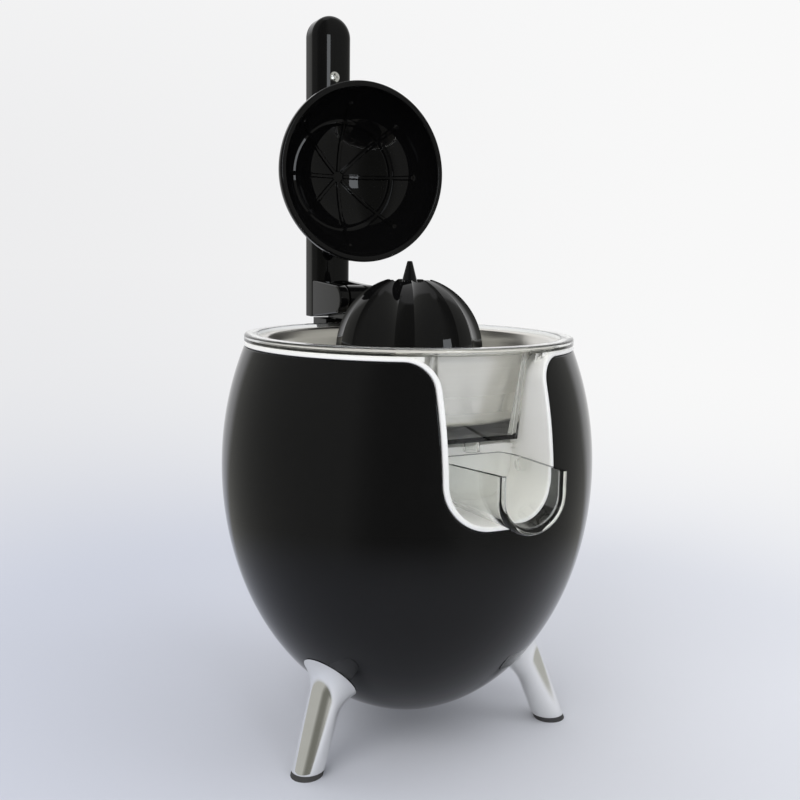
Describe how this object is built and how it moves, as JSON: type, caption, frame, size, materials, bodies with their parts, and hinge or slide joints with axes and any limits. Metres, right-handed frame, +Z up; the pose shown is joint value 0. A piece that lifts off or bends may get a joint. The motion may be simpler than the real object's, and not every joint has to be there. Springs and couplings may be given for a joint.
{
  "type": "lever citrus press",
  "caption": "Electric citrus press with an egg-shaped body on three legs, a ribbed reamer, a tilting spout and a fold-down lever that carries the press cup.",
  "frame": {"origin": "on the table, under the axis of the egg-shaped body", "axes": "+Z up along the body's axis, the spout faces -Y, the lever stands at +Y, +X to the right seen from the spout"},
  "size_m": [0.19, 0.2338, 0.382],
  "materials": {
    "gloss_black": "high gloss moulded black",
    "white_plastic": "satin white moulding",
    "clear_plastic": "clear moulded plastic",
    "stainless": "pressed stainless steel",
    "chrome": "bright plated",
    "rubber": "matt dark rubber",
    "steel": "plain steel",
    "bronze": "sintered bronze",
    "copper": "enamelled copper winding",
    "gear_plastic": "natural acetal",
    "dark_plastic": "moulded dark plastic"
  },
  "bodies": {
    "base": {"outer_shell": "gloss_black", "inner_liner": "white_plastic", "liner_screws": "steel", "base_cover": "dark_plastic", "base_cover_screws": "steel", "foot_front_left": "chrome", "foot_front_right": "chrome", "foot_rear": "chrome", "pad_front_left": "rubber", "pad_front_right": "rubber", "pad_rear": "rubber", "foot_screws": "steel", "cord_inlet_bush": "rubber", "motor_deck": "dark_plastic", "deck_screws": "steel", "gear_cover_screws": "steel", "gear_cover": "dark_plastic", "motor_stator": "steel", "stator_windings": "copper", "motor_end_plate": "steel", "motor_screws": "steel", "motor_bushes": "bronze", "idler_axle": "steel", "lower_shaft_bush": "bronze", "upper_shaft_bush": "bronze", "shaft_seal": "rubber", "return_spring": "steel", "start_switch": "dark_plastic", "juice_bowl": "clear_plastic", "strainer_basket": "stainless", "hinge_bracket": "gloss_black", "bracket_backing": "steel", "bracket_screws": "steel"},
    "press_carriage": {"thrust_washer": "steel", "switch_rod": "dark_plastic"},
    "reamer": {"drive_shaft": "steel", "shaft_clip": "steel", "output_gear": "gear_plastic", "reamer_cone": "gloss_black"},
    "idler": {"idler_gear": "gear_plastic"},
    "rotor": {"motor_shaft": "steel", "motor_rotor": "steel", "motor_fan": "dark_plastic", "motor_pinion": "bronze"},
    "lever": {"lever_arm": "gloss_black", "lever_back_cover": "gloss_black", "lever_screw": "chrome", "hinge_pin": "steel", "cup_pin": "steel"},
    "cup": {"press_cup": "gloss_black"},
    "spout": {"spout": "clear_plastic"}
  },
  "joints": [
    {"name": "lever_lift", "type": "hinge", "parent": "base", "child": "lever", "pos_m": [0, 0.07001, 0.22], "axis": [1, 0, 0], "range_deg": [0, 90]},
    {"name": "cup_tilt", "type": "hinge", "parent": "lever", "child": "cup", "pos_m": [0, 0.10439, 0.29001], "axis": [1, 0, 0], "range_deg": [-5, 5]},
    {"name": "reamer_press", "type": "slide", "parent": "base", "child": "press_carriage", "axis": [0, 0, -1], "range_m": [0, 0.0025], "stiffness_N_per_m": 2000, "springref_m": -0.004, "deforming": ["return_spring"]},
    {"name": "reamer_spin", "type": "hinge", "parent": "press_carriage", "child": "reamer", "pos_m": [0, 0, 0.15], "axis": [0, 0, 1], "continuous": true},
    {"name": "idler_spin", "type": "hinge", "parent": "base", "child": "idler", "pos_m": [0.02873, 0.03064, 0.12], "axis": [0, 0, 1], "continuous": true},
    {"name": "rotor_spin", "type": "hinge", "parent": "base", "child": "rotor", "pos_m": [0, 0.022, 0.08], "axis": [0, 0, 1], "continuous": true},
    {"name": "spout_tilt", "type": "hinge", "parent": "base", "child": "spout", "pos_m": [0, -0.07502, 0.151], "axis": [-1, 0, 0], "range_deg": [0, 30]}
  ],
  "couplings": [
    {"joint": "idler_spin", "follows": "reamer_spin", "ratio": -4},
    {"joint": "rotor_spin", "follows": "reamer_spin", "ratio": 16}
  ]
}
